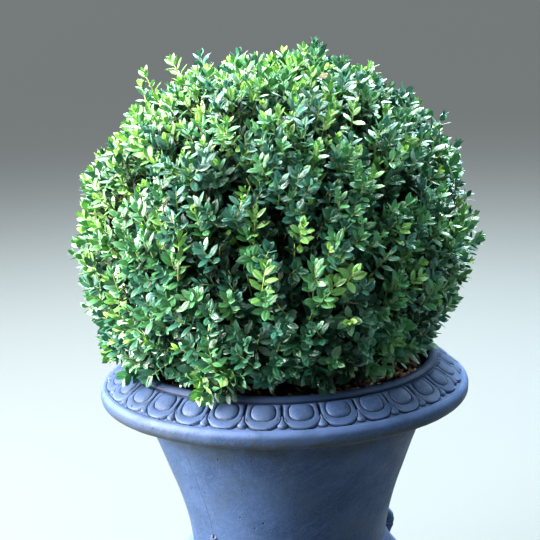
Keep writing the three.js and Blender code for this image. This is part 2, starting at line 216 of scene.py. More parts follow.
def cast_lead_blue():
    """The urn's finish: cloudy slate blue, pale on top faces with dust bloom and painted top light, dark in
    its grooves with grime and painted shade, stained and scuffed.
    """
    material = bpy.data.materials.new("cast_lead_blue")
    material.use_nodes = True
    tree = material.node_tree
    skin = tree.nodes["Principled BSDF"]
    place = tree.nodes.new("ShaderNodeTexCoord").outputs["Object"]
    facing = tree.nodes.new("ShaderNodeNewGeometry").outputs["Normal"]
    upward = wire(tree, "ShaderNodeSeparateXYZ", [(facing, "Vector")]).outputs["Z"]
    part = wire(tree, "ShaderNodeSeparateXYZ", [(place, "Vector")])
    height = part.outputs["Z"]
    groove = wire(tree, "ShaderNodeAttribute", attribute_name="groove").outputs["Fac"]
    brushed = tree.nodes.new("ShaderNodeMapping")
    brushed.vector_type = "TEXTURE"
    brushed.inputs["Rotation"].default_value = (0.0, -0.55, -0.72)
    brushed.inputs["Scale"].default_value = (9.0, 1.0, 1.0)
    tree.links.new(place, brushed.inputs["Vector"])
    brushed_place = brushed.outputs["Vector"]

    # All over: cloudy base, fine speckle, wiping strokes, greyed patches and pale flecks
    mottle = between(tree, cloud(tree, place, 11.0, 6.0), 0.36, 0.66)
    speckle = between(tree, cloud(tree, place, 460.0, 3.0, 0.8), 0.50, 0.68, 0.0, 0.60)
    wiped = between(tree, cloud(tree, brushed_place, 170.0, 6.0, 0.7), 0.46, 0.66, 0.0, 0.40)
    greyed = between(tree, cloud(tree, place, 15.0, 6.0, 0.65), 0.44, 0.62, 0.0, 0.50)
    fleck = times(tree, between(tree, cells(tree, place, 170.0), 0.16, 0.06),
                  between(tree, cloud(tree, place, 63.0, 2.0), 0.54, 0.60, 0.0, 0.6))

    # By height: pale dust bloom and painted top light on top faces, stain and crust under the rim, shade
    # inside the lip
    # Faces that look up get a pale dust bloom that is lightened further as painted top light. It is weaker on
    # the band and lip, as painted shade under the crown.
    dust_and_painted_top_light = times(tree, between(tree, upward, 0.05, 0.60, 0.0, 0.85),
                  between(tree, height, 0.482, 0.466, 0.22, 1.0))
    bloom_and_painted_top_light = times(tree, dust_and_painted_top_light, between(tree, cloud(tree, place, 26.0, 5.0), 0.25, 0.58, 0.35, 1.0))
    under_rim = times(tree, between(tree, height, 0.395, 0.432), between(tree, height, 0.462, 0.448))
    stain = times(tree, under_rim, between(tree, cloud(tree, place, 34.0, 5.0), 0.34, 0.62, 0.35, 0.92))
    roll_edge = times(tree, between(tree, height, 0.4440, 0.4465), between(tree, height, 0.4590, 0.4525))
    crust = times(tree, roll_edge, between(tree, cloud(tree, place, 95.0, 6.0, 0.7), 0.47, 0.55, 0.0, 0.8))
    lip_shade = between(tree, height, 0.4945, 0.4970, 0.0, 0.75)

    # By shape: grime and painted shade in the grooves, wear on the ridges, pits, scuffs on the roll and the
    # seam
    grime_and_painted_shade = times(tree, between(tree, groove, 0.0, 0.42, 0.0, 0.95),
                  between(tree, cloud(tree, place, 60.0, 4.0), 0.28, 0.60, 0.60, 1.0))
    worn_ridge = times(tree, between(tree, groove, -0.10, -0.60, 0.0, 0.55),
                       between(tree, cloud(tree, place, 48.0, 5.0), 0.40, 0.62))
    pit = times(tree, between(tree, cells(tree, place, 95.0), 0.20, 0.08),
                between(tree, cloud(tree, place, 41.0, 2.0), 0.60, 0.64))
    rubbed = between(tree, cloud(tree, brushed_place, 150.0, 6.0, 0.75), 0.66, 0.72)
    scuff = times(tree, times(tree, rubbed, between(tree, height, 0.448, 0.458)), 0.60)
    beside_seam = wire(tree, "ShaderNodeMath", [(part.outputs["X"], 0), (part.outputs["Y"], 2)],
                       operation="MULTIPLY_ADD")
    beside_seam.inputs[1].default_value = -math.tan(ornament_turn)
    off_seam = wire(tree, "ShaderNodeMath", [(beside_seam.outputs[0], 0)], operation="ABSOLUTE").outputs[0]
    seam = times(tree, between(tree, off_seam, 0.0016, 0.0002), between(tree, height, 0.430, 0.400))

    colour = blend_colours(tree, mottle, (0.014, 0.037, 0.096), (0.031, 0.064, 0.150))
    for share, shade in (
        (speckle, (0.058, 0.110, 0.240)),
        (wiped, (0.052, 0.098, 0.215)),
        (greyed, (0.030, 0.054, 0.095)),
        (fleck, (0.110, 0.160, 0.250)),
        # pale blue bloom: dust, and painted top light
        (bloom_and_painted_top_light, (0.088, 0.152, 0.345)),
        (stain, (0.014, 0.024, 0.027)),
        (crust, (0.034, 0.031, 0.028)),
        (lip_shade, (0.006, 0.019, 0.058)),
        # near-black grime and painted shade in the grooves
        (grime_and_painted_shade, (0.004, 0.008, 0.018)),
        (worn_ridge, (0.130, 0.190, 0.330)),
        (times(tree, pit, 0.8), (0.008, 0.012, 0.022)),
        (scuff, (0.240, 0.290, 0.390)),
        (times(tree, seam, 0.35), (0.016, 0.026, 0.052)),
    ):
        colour = blend_colours(tree, share, colour, shade)
    tree.links.new(colour, skin.inputs["Base Color"])

    dullness = between(tree, cloud(tree, place, 19.0, 4.0), 0.3, 0.7, 0.50, 0.68)
    tree.links.new(dullness, skin.inputs["Roughness"])
    skin.inputs["Specular IOR Level"].default_value = 0.28
    grain = bump(tree, cloud(tree, place, 620.0, 3.0, 0.6), None, 0.5, 0.0008)
    waves = bump(tree, cloud(tree, place, 70.0, 5.0), grain, 0.35, 0.0022)
    dents = bump(tree, pit, waves, 0.8, 0.0014, invert=True)
    tree.links.new(bump(tree, seam, dents, 0.6, 0.0006), skin.inputs["Normal"])
    return material


urn_finish = cast_lead_blue()


def as_piece(name, mesh, finish, slot, *nodes):
    """Makes a mesh a smooth piece that rides on the part and stands for its solids."""
    mesh.materials.append(finish)
    mesh.shade_smooth()
    piece = bpy.data.objects.new(name, mesh)
    bpy.context.scene.collection.objects.link(piece)
    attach(piece, "root")
    if nodes:
        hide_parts(*nodes)
    return piece


def set_piece(name, shape, finish, slot, *nodes):
    """Makes a bmesh shape a piece."""
    mesh = bpy.data.meshes.new(name)
    shape.to_mesh(mesh)
    shape.free()
    return as_piece(name, mesh, finish, slot, *nodes)


plinth_low, plinth_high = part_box("urn_plinth")
plinth_side = plinth_high.x - plinth_low.x
slab_height = plinth_high.z - 0.014
slab = bmesh.new()
bmesh.ops.create_cube(slab, size=1.0)
bmesh.ops.scale(slab, verts=slab.verts, vec=(plinth_side, plinth_side, slab_height))
bmesh.ops.translate(slab, verts=slab.verts, vec=(0, 0, slab_height / 2))
for drawn_in, raised in ((0.0025, 0.0), (0.0005, 0.004), (0.0035, 0.004), (0.0005, 0.006)):
    top = [face for face in slab.faces if face.normal.z > 0.9 and len(face.verts) == 4]
    top = max(top, key=lambda face: face.calc_center_median().z)
    bmesh.ops.inset_region(slab, faces=[top], thickness=drawn_in, depth=0.0)
    bmesh.ops.translate(slab, verts=top.verts, vec=(0, 0, raised))
sharp = [edge for edge in slab.edges if edge.calc_face_angle(0) > 0.3]
bmesh.ops.bevel(slab, geom=sharp, offset=0.0012, affect="EDGES", segments=3, profile=0.5, material=-1)
bmesh.ops.subdivide_edges(slab, edges=slab.edges, cuts=1, use_grid_fill=True)
plinth = set_piece("plinth_slab", slab, urn_finish, "urn_stone", "urn_plinth")
plinth.data.set_sharp_from_angle(angle=math.radians(35))


# Foot
# A round cast foot: a fat bead on the plinth, two fillets, a hollow sweep up to the stem and a
# collar under the bowl. It is one casting with the plinth, turned here about the urn's axis.
def smooth_line(knots, count):
    """Points of a curve that passes through (radius, height) knots, evenly shared out."""
    ends = [knots[0], *knots, knots[-1]]
    points = []
    for step in range(count + 1):
        place = min(step / count * (len(knots) - 1), len(knots) - 1.000001)
        span = int(place)
        t = place - span
        a, b, c, d = (Vector(k) for k in ends[span:span + 4])
        points.append(0.5 * (2 * b + (c - a) * t + (2 * a - 5 * b + 4 * c - d) * t * t
                             + (3 * b - a - 3 * c + d) * t ** 3))
    return [tuple(p) for p in points]


def round_line(radius, height, size, start, end, count):
    """Points of an arc in the profile plane, angles in degrees from straight out."""
    angles = [math.radians(start + (end - start) * i / count) for i in range(count + 1)]
    return [(radius + size * math.cos(a), height + size * math.sin(a)) for a in angles]


def turned(profile, sectors, steps, closed=False, carve=None):
    """A shape turned on the urn's axis from (radius, height) points: one sector is spun in a few
    steps, shaped by carve, copied round and joined."""
    shape = bmesh.new()
    line = [shape.verts.new((radius, 0, height)) for radius, height in profile]
    edges = [shape.edges.new(pair) for pair in zip(line, line[1:])]
    if closed:
        edges.append(shape.edges.new((line[-1], line[0])))
    swing = 2 * math.pi / sectors
    bmesh.ops.spin(shape, geom=line + edges, cent=(0, 0, 0), axis=(0, 0, 1), dvec=(0, 0, 0),
                   angle=swing, steps=steps, use_merge=False, use_duplicate=False)
    if carve:
        carve(shape)
    sector = shape.verts[:] + shape.edges[:] + shape.faces[:]
    for number in range(1, sectors):
        copy = bmesh.ops.duplicate(shape, geom=sector)["geom"]
        points = [item for item in copy if isinstance(item, bmesh.types.BMVert)]
        bmesh.ops.rotate(shape, verts=points, cent=(0, 0, 0), matrix=Matrix.Rotation(number * swing, 3, "Z"))
    bmesh.ops.remove_doubles(shape, verts=shape.verts, dist=1e-5)
    bmesh.ops.recalc_face_normals(shape, faces=shape.faces)
    return shape


foot_low, foot_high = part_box("urn_foot")
foot_radius = foot_high.x
bead = round_line(foot_radius - 0.010, foot_low.z + 0.010, 0.010, -90, 90, 14)
fillet = [(0.1045, 0.0702), (0.1045, 0.0752), (0.1015, 0.0758)]
sweep = smooth_line([(0.1005, 0.0762), (0.084, 0.0815), (0.067, 0.0975), (0.0585, 0.1180)], 18)
stem_ring = [(0.0605, 0.1188), (0.0612, 0.1205), (0.0605, 0.1222)]
collar = round_line(0.060, foot_high.z - 0.008, 0.0078, -75, 90, 10)
foot_profile = [(0, foot_low.z), *bead, *fillet, *sweep, *stem_ring, *collar, (0, foot_high.z)]
set_piece("foot_turning", turned(foot_profile, 12, 12), urn_finish, "urn_stone", "urn_foot")


# Gadrooned bowl
# The belly of the urn under the waist. Its wall is worked into twenty upright lobes that swell
# at the fullest part and die away at the collar and under the waist, with a plain band on top.
bowl_low, bowl_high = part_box("urn_gadrooned_bowl")
waist_height = bowl_high.z
waist_radius = 0.1397
bowl_lobes = 20
lobe_depth = 0.0075
plain_band = 0.93
bowl_wall = smooth_line([
    (0.064, bowl_low.z), (0.100, 0.1425), (0.136, 0.152), (0.160, 0.167),
    (0.168, 0.184), (0.161, 0.203), (0.149, 0.2195), (waist_radius, waist_height - 0.001),
], 44)


def gadroon(sector):
    """Draws the wall in between two lobes, most at the belly and not at all at its two ends."""
    for vert in sector.verts:
        radius = math.hypot(vert.co.x, vert.co.y)
        share = (vert.co.z - bowl_low.z) / (waist_height - bowl_low.z)
        if radius < 0.03 or share > plain_band:
            continue
        fade = min(1.0, math.sin(math.pi * share / plain_band) * 1.5)
        lobe = abs(math.cos(bowl_lobes * math.atan2(vert.co.y, vert.co.x) / 2)) ** 0.45
        drawn = 1 - lobe_depth * fade * (1 - lobe) / radius
        vert.co.x *= drawn
        vert.co.y *= drawn


bowl = turned([(0, bowl_low.z), *bowl_wall, (0, waist_height)], bowl_lobes, 24, carve=gadroon)
set_piece("gadrooned_bowl_wall", bowl, urn_finish, "urn_stone", "urn_gadrooned_bowl")


# Bell
# The flaring body above the waist, one plain cast wall that curves out to the underside of the
# rim, hollow inside down to its floor. A leaf in low relief sits over each handle.
bell_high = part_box("urn_bell_with_egg_and_dart_rim")[1]
rim_radius = bell_high.x
soil_low, soil_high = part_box("potting_soil")
bell_wall = smooth_line([
    (waist_radius, waist_height), (0.1448, 0.271), (0.1556, 0.312), (0.1692, 0.350),
    (0.1830, 0.387), (0.1920, 0.409), (0.1978, 0.424), (0.2045, 0.433),
], 52)
bell_inside = smooth_line([(0.198, 0.462), (0.178, 0.425), (0.150, 0.350), (0.118, soil_low.z)], 14)
bell_profile = [(0, waist_height), *bell_wall, (0.205, 0.462), *bell_inside, (0, soil_low.z)]
bell = turned(bell_profile, 12, 20)
for vert in bell.verts:
    swell = 0.0009 * noise.noise(vert.co * 9.0)
    radius = max(math.hypot(vert.co.x, vert.co.y), 0.02)
    vert.co.x *= 1 + swell / radius
    vert.co.y *= 1 + swell / radius
set_piece("bell_wall", bell, urn_finish, "urn_stone", "urn_bell_with_egg_and_dart_rim")


def ease(value):
    """A smooth step from 0 to 1."""
    value = min(1.0, max(0.0, value))
    return value * value * (3 - 2 * value)


ornament_height = 0.037
ornament_half_width = 0.0135
ornament_rise = 0.0046
rib_rise = 0.0009
midrib_rise = 0.0012
edge_sunk = 0.0008
for side, name in ((0, "right"), (math.pi, "left")):
    relief = bmesh.new()
    bmesh.ops.create_grid(relief, x_segments=28, y_segments=40, size=1.0)
    groove = relief.verts.layers.float.new("groove")
    for vert in relief.verts:
        across, up = vert.co.x, (vert.co.y + 1) / 2
        outline = math.sin(math.pi * min(1.0, up * 0.96 + 0.04)) ** 0.5 * (1 - 0.15 * abs(math.sin(up * 11)))
        ribs = math.cos(up * 42 - 9 * abs(across))
        raised = (ornament_rise * (1 - across ** 4) + rib_rise * ribs) * min(1.0, 8 * up) * outline
        raised += midrib_rise * math.exp(-(across / 0.13) ** 2) - edge_sunk
        level = waist_height + 0.001 + up * ornament_height
        wall = waist_radius + 0.0051 * ((level - waist_height) / 0.034) ** 1.1  # the bell's own wall
        angle = side + ornament_turn + across * ornament_half_width * outline / wall
        vert.co = Vector(((wall + raised) * math.cos(angle), (wall + raised) * math.sin(angle), level))
        # The leaf's outline and top count as groove, for grime and painted shade where it meets the wall; its
        # ribs count as ridges for wear.
        vert[groove] = max(ease((abs(across) - 0.72) / 0.25), ease((up - 0.93) / 0.06), -0.7 * ribs)
    bmesh.ops.remove_doubles(relief, verts=relief.verts, dist=1e-6)
    for edge in relief.edges:
        edge.smooth = not edge.is_boundary
    bmesh.ops.holes_fill(relief, edges=relief.edges, sides=0)
    bmesh.ops.recalc_face_normals(relief, faces=relief.faces)
    set_piece(f"handle_leaf_{name}", relief, urn_finish, "urn_stone")


# Egg-and-dart rim
# The overhanging top of the bell: a rolled edge, a sloping band of eggs in their cups with a
# dart between each two, and a plain rounded lip round the planting hole, cast with the bell.
egg_count = 30
band_top = Vector((0.2150, 0.4953))
band_foot = Vector((0.2496, 0.4720))
band_run = band_foot - band_top
band_normal = Vector((-band_run.y, band_run.x)).normalized()
roll_size = 0.014
roll_height = 0.460
lip_top = bell_high.z + 0.0016


def squarer(degrees):
    """A point of the roll's section, whose underside turns in more sharply than an arc."""
    squareness = 0.72
    out, rise = math.cos(math.radians(degrees)), math.sin(math.radians(degrees))
    if rise < 0:
        out = math.copysign(abs(out) ** squareness, out)
        rise = -abs(rise) ** squareness
    return (rim_radius - roll_size + roll_size * out, roll_height + roll_size * rise)


cove = smooth_line([(0.1965, 0.440), (0.2000, 0.4350), (0.210, 0.4395), (0.228, 0.4425), (0.240, 0.4445)], 12)
roll = [squarer(angle) for angle in np.linspace(-96, 52, 25)]
under_band = [(0.2520, 0.4690), (0.2460, 0.4680), (0.2140, 0.4900)]
lip = smooth_line([
    (0.2153, 0.4950), (0.2164, 0.4968), (0.2154, 0.4992), (0.2122, lip_top - 0.0006), (0.2080, lip_top),
    (0.2046, lip_top - 0.0016), (0.2031, 0.4960), (0.2012, 0.4820), (0.1990, 0.4600),
], 26)

# How high the ornament stands and how deep its grooves are cut, in millimetres
cup_rise = 2.2
cup_crest = 1.5
egg_rise = 4.3
dart_rise = 4.4
cup_groove = 1.5
egg_groove = 1.6


def egg_and_dart(across, down):
    """Relief in metres over one unit: across from its middle, -0.5 to 0.5, and down from 0 at the
    lip to 1 at the roll. The egg is a flattened dome in a rounded cup, with a dart at each side."""
    side = abs(across)
    cup = ((side / 0.472) ** 2.4 + (max(0.0, down - 0.42) / 0.61) ** 2.4) ** (1 / 2.4)
    egg = ((side / 0.335) ** 2.4 + (abs(down - 0.37) / 0.350) ** 2.4) ** (1 / 2.4)
    cup_edge = (1 - cup) * 23.0
    egg_edge = (egg - 1) * 14.5
    raised = cup_rise * ease(cup_edge / 0.8) - cup_groove * math.exp(-((cup_edge + 0.5) / 0.55) ** 2)
    if cup < 1 < egg:
        middle = egg_edge / (egg_edge + cup_edge)
        raised += cup_crest * (4 * middle * (1 - middle)) ** 0.5
    if egg < 1:
        raised += egg_rise * (1 - egg ** 2.8) ** 0.6
    raised -= egg_groove * math.exp(-(egg_edge / 0.5) ** 2)
    beside = max(0.0, 0.5 - side)
    dart_width = 0.132 * max(0.0, min(1.0, (down - 0.43) / 0.42))
    if down > 0.85:
        dart_width *= math.sqrt(max(0.0, 1 - ((down - 0.85) / 0.125) ** 2))
    if beside < dart_width:
        raised += dart_rise * (1 - (beside / dart_width) ** 2) ** 0.5 * ease((down - 0.44) / 0.12)
    return (raised * ease(down / 0.15) - ease(down / 0.02)) * 0.001 * ease((1.075 - down) / 0.03)


def carve_band(sector):
    """Raises the sloping top of the band to its relief, and notes how deep each point lies in a
    groove, from 1 in a deep one to -1 on a sharp ridge."""
    groove = sector.verts.layers.float.new("groove")
    bearings = np.arange(8) * math.pi / 4
    around = [(0.030 * math.cos(bearing), 0.034 * math.sin(bearing)) for bearing in bearings]
    for vert in sector.verts:
        radius = math.hypot(vert.co.x, vert.co.y)
        down = (radius - band_top.x) / band_run.x
        if not 0 <= down < 1.08 or vert.co.z < band_top.y + down * band_run.y - 0.003:
            continue
        across = math.atan2(vert.co.y, vert.co.x) * egg_count / (2 * math.pi) - 0.5
        height = egg_and_dart(across, down)
        nearby = sum(egg_and_dart((across + a + 0.5) % 1 - 0.5, down + d) for a, d in around) / len(around)
        outward = Vector((vert.co.x, vert.co.y, 0)) / radius
        vert.co += (outward * band_normal.x + Vector((0, 0, band_normal.y))) * height
        # Along the band's top edge under the lip the groove value is raised as well, for a painted shade line
        # there.
        vert[groove] = max(-1.0, min(1.0, (nearby - height) * 1000 + math.exp(-(down / 0.025) ** 2)))


def worn(shape):
    """Gives a casting the slight unevenness of its mould and of wear."""
    for vert in shape.verts:
        uneven = 0.0005 * noise.noise(vert.co * 45.0) + 0.0007 * noise.noise(vert.co * 12.0)
        vert.co += vert.co.normalized() * uneven
    return shape


rim = turned([*cove, *roll, *under_band, *lip], egg_count, 10, closed=True)
set_piece("rim_roll_and_lip", worn(rim), urn_finish, "urn_stone", "urn_bell_with_egg_and_dart_rim")
band_rows = 40
band = [tuple(band_top.lerp(band_foot, i / band_rows)) for i in range(band_rows)]
band_end = smooth_line([tuple(band_foot), (0.2505, 0.4716), (0.2522, 0.4714), (0.2538, 0.4709)], 6)
band_back = [(0.2540, 0.4690), (0.2460, 0.4670), (0.2130, 0.4890)]
band_ring = turned([*band, *band_end, *band_back], egg_count, 60, closed=True, carve=carve_band)
set_piece("egg_and_dart_band", worn(band_ring), urn_finish, "urn_stone", "urn_bell_with_egg_and_dart_rim")


# Handles
# A pair of round cast loops on the bowl, fattest at the bend, each with three beads at its
# middle. They are cast with the bowl, whose lobes they spring from.
handle_size = 0.0095
bend_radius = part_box("urn_handle_right")[1].x - handle_size
handle_knots = [
    (0.150, 0.2125), (0.165, 0.2165), (0.186, 0.2155), (bend_radius - 0.005, 0.202),
    (bend_radius - 0.006, 0.187), (0.185, 0.170), (0.160, 0.1635), (0.146, 0.1625),
]
handle_steps = 72
handle_line = [Vector((out, 0, height)) for out, height in smooth_line(handle_knots, handle_steps)]
bead_places = (0.44, 0.50, 0.56)
bead_rise = 0.09
bead_spread = 0.017
for side, name in ((1, "right"), (-1, "left")):
    loop = bmesh.new()
    bmesh.ops.create_circle(loop, segments=28, radius=handle_size, cap_ends=True)
    bmesh.ops.rotate(loop, verts=loop.verts, cent=(0, 0, 0), matrix=Matrix.Rotation(math.pi / 2, 3, "Y"))
    bmesh.ops.translate(loop, verts=loop.verts, vec=handle_line[0])
    heading = Vector((1, 0, 0))
    ring_size = 1.0
    end_face = next(iter(loop.faces))
    for number, (before, here) in enumerate(zip(handle_line, handle_line[1:]), 1):
        along = number / handle_steps
        beads = sum(bead_rise * math.exp(-((along - spot) / bead_spread) ** 2) for spot in bead_places)
        size = 0.86 + 0.14 * math.sin(math.pi * along) + beads + 0.35 * (2 * along - 1) ** 8
        new_heading = (here - before).normalized()
        end_face = bmesh.ops.extrude_discrete_faces(loop, faces=[end_face])["faces"][0]
        bmesh.ops.translate(loop, verts=end_face.verts, vec=here - before)
        spin = heading.rotation_difference(new_heading).to_matrix()
        bmesh.ops.rotate(loop, verts=end_face.verts, cent=here, matrix=spin)
        for vert in end_face.verts:
            vert.co = here + (vert.co - here) * (size / ring_size)
        heading = new_heading
        ring_size = size
    if side < 0:
        bmesh.ops.rotate(loop, verts=loop.verts, cent=(0, 0, 0), matrix=Matrix.Rotation(math.pi, 3, "Z"))
    bmesh.ops.holes_fill(loop, edges=loop.edges, sides=0)
    bmesh.ops.recalc_face_normals(loop, faces=loop.faces)
    set_piece(f"handle_loop_{name}", loop, urn_finish, "urn_stone", f"urn_handle_{name}")


# Potting soil
# Dark moist compost, uneven on top and sunk a finger's depth below the lip, with chips of bark
# mulch strewn over it that show between the leaves and the lip.
def crumbly(name, dark, light, scale, roughness, bump_size):
    """A matt, crumbly or rough natural finish between two colours."""
    material = bpy.data.materials.new(name)
    material.use_nodes = True
    tree = material.node_tree
    skin = tree.nodes["Principled BSDF"]
    place = tree.nodes.new("ShaderNodeTexCoord").outputs["Object"]
    patch = between(tree, cloud(tree, place, scale, 6.0, 0.65), 0.34, 0.68)
    tree.links.new(blend_colours(tree, patch, dark, light), skin.inputs["Base Color"])
    skin.inputs["Roughness"].default_value = roughness
    rough = bump(tree, cloud(tree, place, scale * 5, 5.0, 0.7), None, 0.9, bump_size)
    tree.links.new(rough, skin.inputs["Normal"])
    return material


soil_top = soil_high.z
soil_radius = soil_high.x
soil_wall = smooth_line([(0.1177, soil_low.z), (0.1497, 0.350), (0.1777, 0.425), (soil_radius, soil_top)], 12)
ring_count = 50
soil_rings = [(soil_radius * (1 - i / ring_count), soil_top) for i in range(1, ring_count)]
soil = turned([(0, soil_low.z), *soil_wall, *soil_rings, (0, soil_top)], 10, 16)
front = view_turn - math.pi / 2
heap_turn = front + math.radians(78)


def heaped(radius, angle):
    """How much higher the mulch lies where it is heaped against the wall."""
    return 0.017 * np.exp(-((radius - 0.185) / 0.040) ** 2 + 3.0 * (np.cos(angle - heap_turn) - 1))


for vert in soil.verts:
    radius = math.hypot(vert.co.x, vert.co.y)
    if vert.co.z > soil_top - 1e-5 and radius < soil_radius - 0.001:
        lump = 0.006 * noise.noise(vert.co * 22.0) + 0.004 * noise.noise(vert.co * 70.0)
        vert.co.z += lump - 0.001 + heaped(radius, math.atan2(vert.co.y, vert.co.x))
soil_finish = crumbly("moist_compost", (0.010, 0.007, 0.005), (0.045, 0.030, 0.021), 120.0, 0.95, 0.004)
set_piece("soil_bed", soil, soil_finish, "soil", "potting_soil")


def strewn(name, pattern, frames, finish, slot, *nodes):
    """One joined piece: a small pattern shape set at every frame of an array of 4 by 4 matrices."""
    corners = np.array([vert.co for vert in pattern.verts])
    pattern.verts.index_update()
    outlines = [[vert.index for vert in face.verts] for face in pattern.faces]
    pattern.free()
    count, points = len(frames), len(corners)
    places = np.einsum("nij,vj->nvi", frames[:, :3, :3], corners) + frames[:, None, :3, 3]
    loops = np.concatenate(outlines)
    starts = np.cumsum([0] + [len(outline) for outline in outlines])
    mesh = bpy.data.meshes.new(name)
    mesh.vertices.add(count * points)
    mesh.vertices.foreach_set("co", places.astype(np.float32).ravel())
    mesh.loops.add(count * len(loops))
    offsets = np.arange(count)[:, None]
    mesh.loops.foreach_set("vertex_index", (loops + offsets * points).astype(np.int32).ravel())
    mesh.polygons.add(count * len(outlines))
    mesh.polygons.foreach_set("loop_start", (starts[:-1] + offsets * len(loops)).astype(np.int32).ravel())
    mesh.update(calc_edges=True)
    mesh.validate()
    return as_piece(name, mesh, finish, slot, *nodes)


def frames_of(origins, forward, sideways, upward):
    """Stacks of placing matrices from arrays of points and of the three (scaled) axes."""
    frames = np.zeros((len(origins), 4, 4))
    frames[:, :3, 0] = forward
    frames[:, :3, 1] = sideways
    frames[:, :3, 2] = upward
    frames[:, :3, 3] = origins
    frames[:, 3, 3] = 1
    return frames


def unit(vectors):
    """The same directions at length one."""
    return vectors / np.maximum(np.linalg.norm(vectors, axis=-1, keepdims=True), 1e-9)


def bark_chip():
    """One flat, slightly curled and uneven chip about a unit long, wide and thick."""
    chip = bmesh.new()
    bmesh.ops.create_cube(chip, size=1.0)
    bmesh.ops.subdivide_edges(chip, edges=chip.edges, cuts=1, use_grid_fill=True)
    noise.seed_set(11)
    for vert in chip.verts:
        vert.co += noise.noise_vector(vert.co * 1.7) * 0.16
        vert.co.z += 0.12 * (vert.co.x ** 2)
    return chip


random_chips = np.random.default_rng(11)
chip_reach = 0.192

# The kinds of chips: how many, how many degrees round from the front they start, and two colours
# The pale chips are kept off the front, which leaves the soil there dark as painted shade under the crown.
for kind, (amount, clear_front, dark, light) in enumerate((
    (420, 0, (0.045, 0.022, 0.012), (0.105, 0.052, 0.027)),
    (340, 38, (0.200, 0.080, 0.030), (0.420, 0.200, 0.090)),
    (130, 38, (0.330, 0.240, 0.190), (0.620, 0.480, 0.400)),
), 1):
    spread = chip_reach * np.sqrt(random_chips.random(amount))
    first_turn = math.radians(clear_front)
    around = front + random_chips.uniform(first_turn, 2 * math.pi - first_turn, amount)
    heights = soil_top + 0.002 + 0.004 * random_chips.random(amount) + heaped(spread, around)
    spots = np.stack([spread * np.cos(around), spread * np.sin(around), heights], 1)
    heading = unit(np.stack([
        random_chips.normal(size=amount),
        random_chips.normal(size=amount),
        0.25 * random_chips.normal(size=amount),
    ], 1))
    upright = unit(np.array([0, 0, 1.0]) + 0.4 * random_chips.normal(size=(amount, 3)))
    across = unit(np.cross(upright, heading))
    upright = np.cross(heading, across)
    lengths = random_chips.uniform(0.006, 0.017, (amount, 1))
    widths = lengths * random_chips.uniform(0.3, 0.6, (amount, 1))
    thicknesses = random_chips.uniform(0.0015, 0.0035, (amount, 1))
    chips = frames_of(spots, heading * lengths, across * widths, upright * thicknesses)
    chip_finish = crumbly(f"bark_mulch_{kind}", dark, light, 90.0, 0.85, 0.002)
    strewn(f"bark_mulch_chips_{kind}", bark_chip(), chips, chip_finish, "soil")


# Trunk and boughs
# One short stem with a flared foot, and five boughs that spring from it and run up into the
# crown's hollow underside. The bark is thin, corky and furrowed lengthwise.
def barked(line, radii, sides, furrow):
    """A closed limb along a line of points, with lengthwise furrows and knots in its bark."""
    limb = bmesh.new()
    rings = []
    for index, (spot, radius) in enumerate(zip(line, radii)):
        ahead_of = line[min(index + 1, len(line) - 1)] - line[max(index - 1, 0)]
        facing = ahead_of.to_track_quat("Z", "Y").to_matrix().to_4x4()
        ring = bmesh.ops.create_circle(limb, segments=sides, radius=radius,
                                       matrix=Matrix.Translation(spot) @ facing)["verts"]
        rings.append(ring)
    for lower, upper in zip(rings, rings[1:]):
        edges = [e for v in lower for e in v.link_edges if e.other_vert(v) in lower and len(e.link_faces) < 2]
        above = [e for v in upper for e in v.link_edges if e.other_vert(v) in upper]
        bmesh.ops.bridge_loops(limb, edges=list(dict.fromkeys(edges + above)))
    bmesh.ops.holes_fill(limb, edges=limb.edges, sides=0)
    bmesh.ops.recalc_face_normals(limb, faces=limb.faces)
    for ring, spot in zip(rings, line):
        for number, vert in enumerate(ring):
            off = vert.co - spot
            ridge = furrow * (0.5 * math.sin(5 * 2 * math.pi * number / sides + 9 * spot.z * 10)
                              + noise.noise(Vector((off.x * 160, off.y * 160, vert.co.z * 28)))
                              + 0.7 * noise.noise(vert.co * 240))
            vert.co += off.normalized() * ridge
    return limb


bark_finish = crumbly("corky_bark", (0.060, 0.048, 0.034), (0.215, 0.185, 0.140), 110.0, 0.9, 0.0016)
trunk_low, trunk_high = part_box("trunk")
trunk_radius = 0.016
trunk_levels = 30
trunk_line = [Vector((0, 0, trunk_low.z + (trunk_high.z - trunk_low.z) * i / trunk_levels))
              for i in range(trunk_levels + 1)]
trunk_radii = [trunk_radius * (1 + 0.85 * math.exp(-i / 4.0)) for i in range(trunk_levels + 1)]
set_piece("trunk_bark", barked(trunk_line, trunk_radii, 40, 0.0012), bark_finish, "bark", "trunk")

bough_count = 5
bough_steps = 20
bough_spread = 0.0742
bough_tips = []
for number in range(bough_count):
    angle = 2 * math.pi * (number + 0.25) / bough_count
    outward = Vector((math.cos(angle), math.sin(angle), 0))
    start = Vector((0, 0, trunk_high.z - 0.026)) + outward * (trunk_radius - 0.004)
    node = f"bough_{number + 1}"
    end = outward * bough_spread + Vector((0, 0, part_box(node)[1].z - 0.0015))
    shares = [i / bough_steps for i in range(bough_steps + 1)]
    line = [start.lerp(end, share) + Vector((0, 0, 0.003 * math.sin(math.pi * share))) for share in shares]
    radii = [0.0082 - 0.0024 * share for share in shares]
    bough_tips.append(end)
    set_piece(f"{node}_bark", barked(line, radii, 18, 0.0005), bark_finish, "bark", node)


# Crown wood
# From the stem and the bough tips the wood divides into limbs, forks and thin shoots that end
# all over the clipped surface. The shoots are set evenly, in layers, by a seeded rule.
crown_centre = np.array([-0.003, 0.0026, 0.670])
crown_radius = 0.276
crown_above = 0.275
crown_below = 0.330
growth = np.random.default_rng(20)

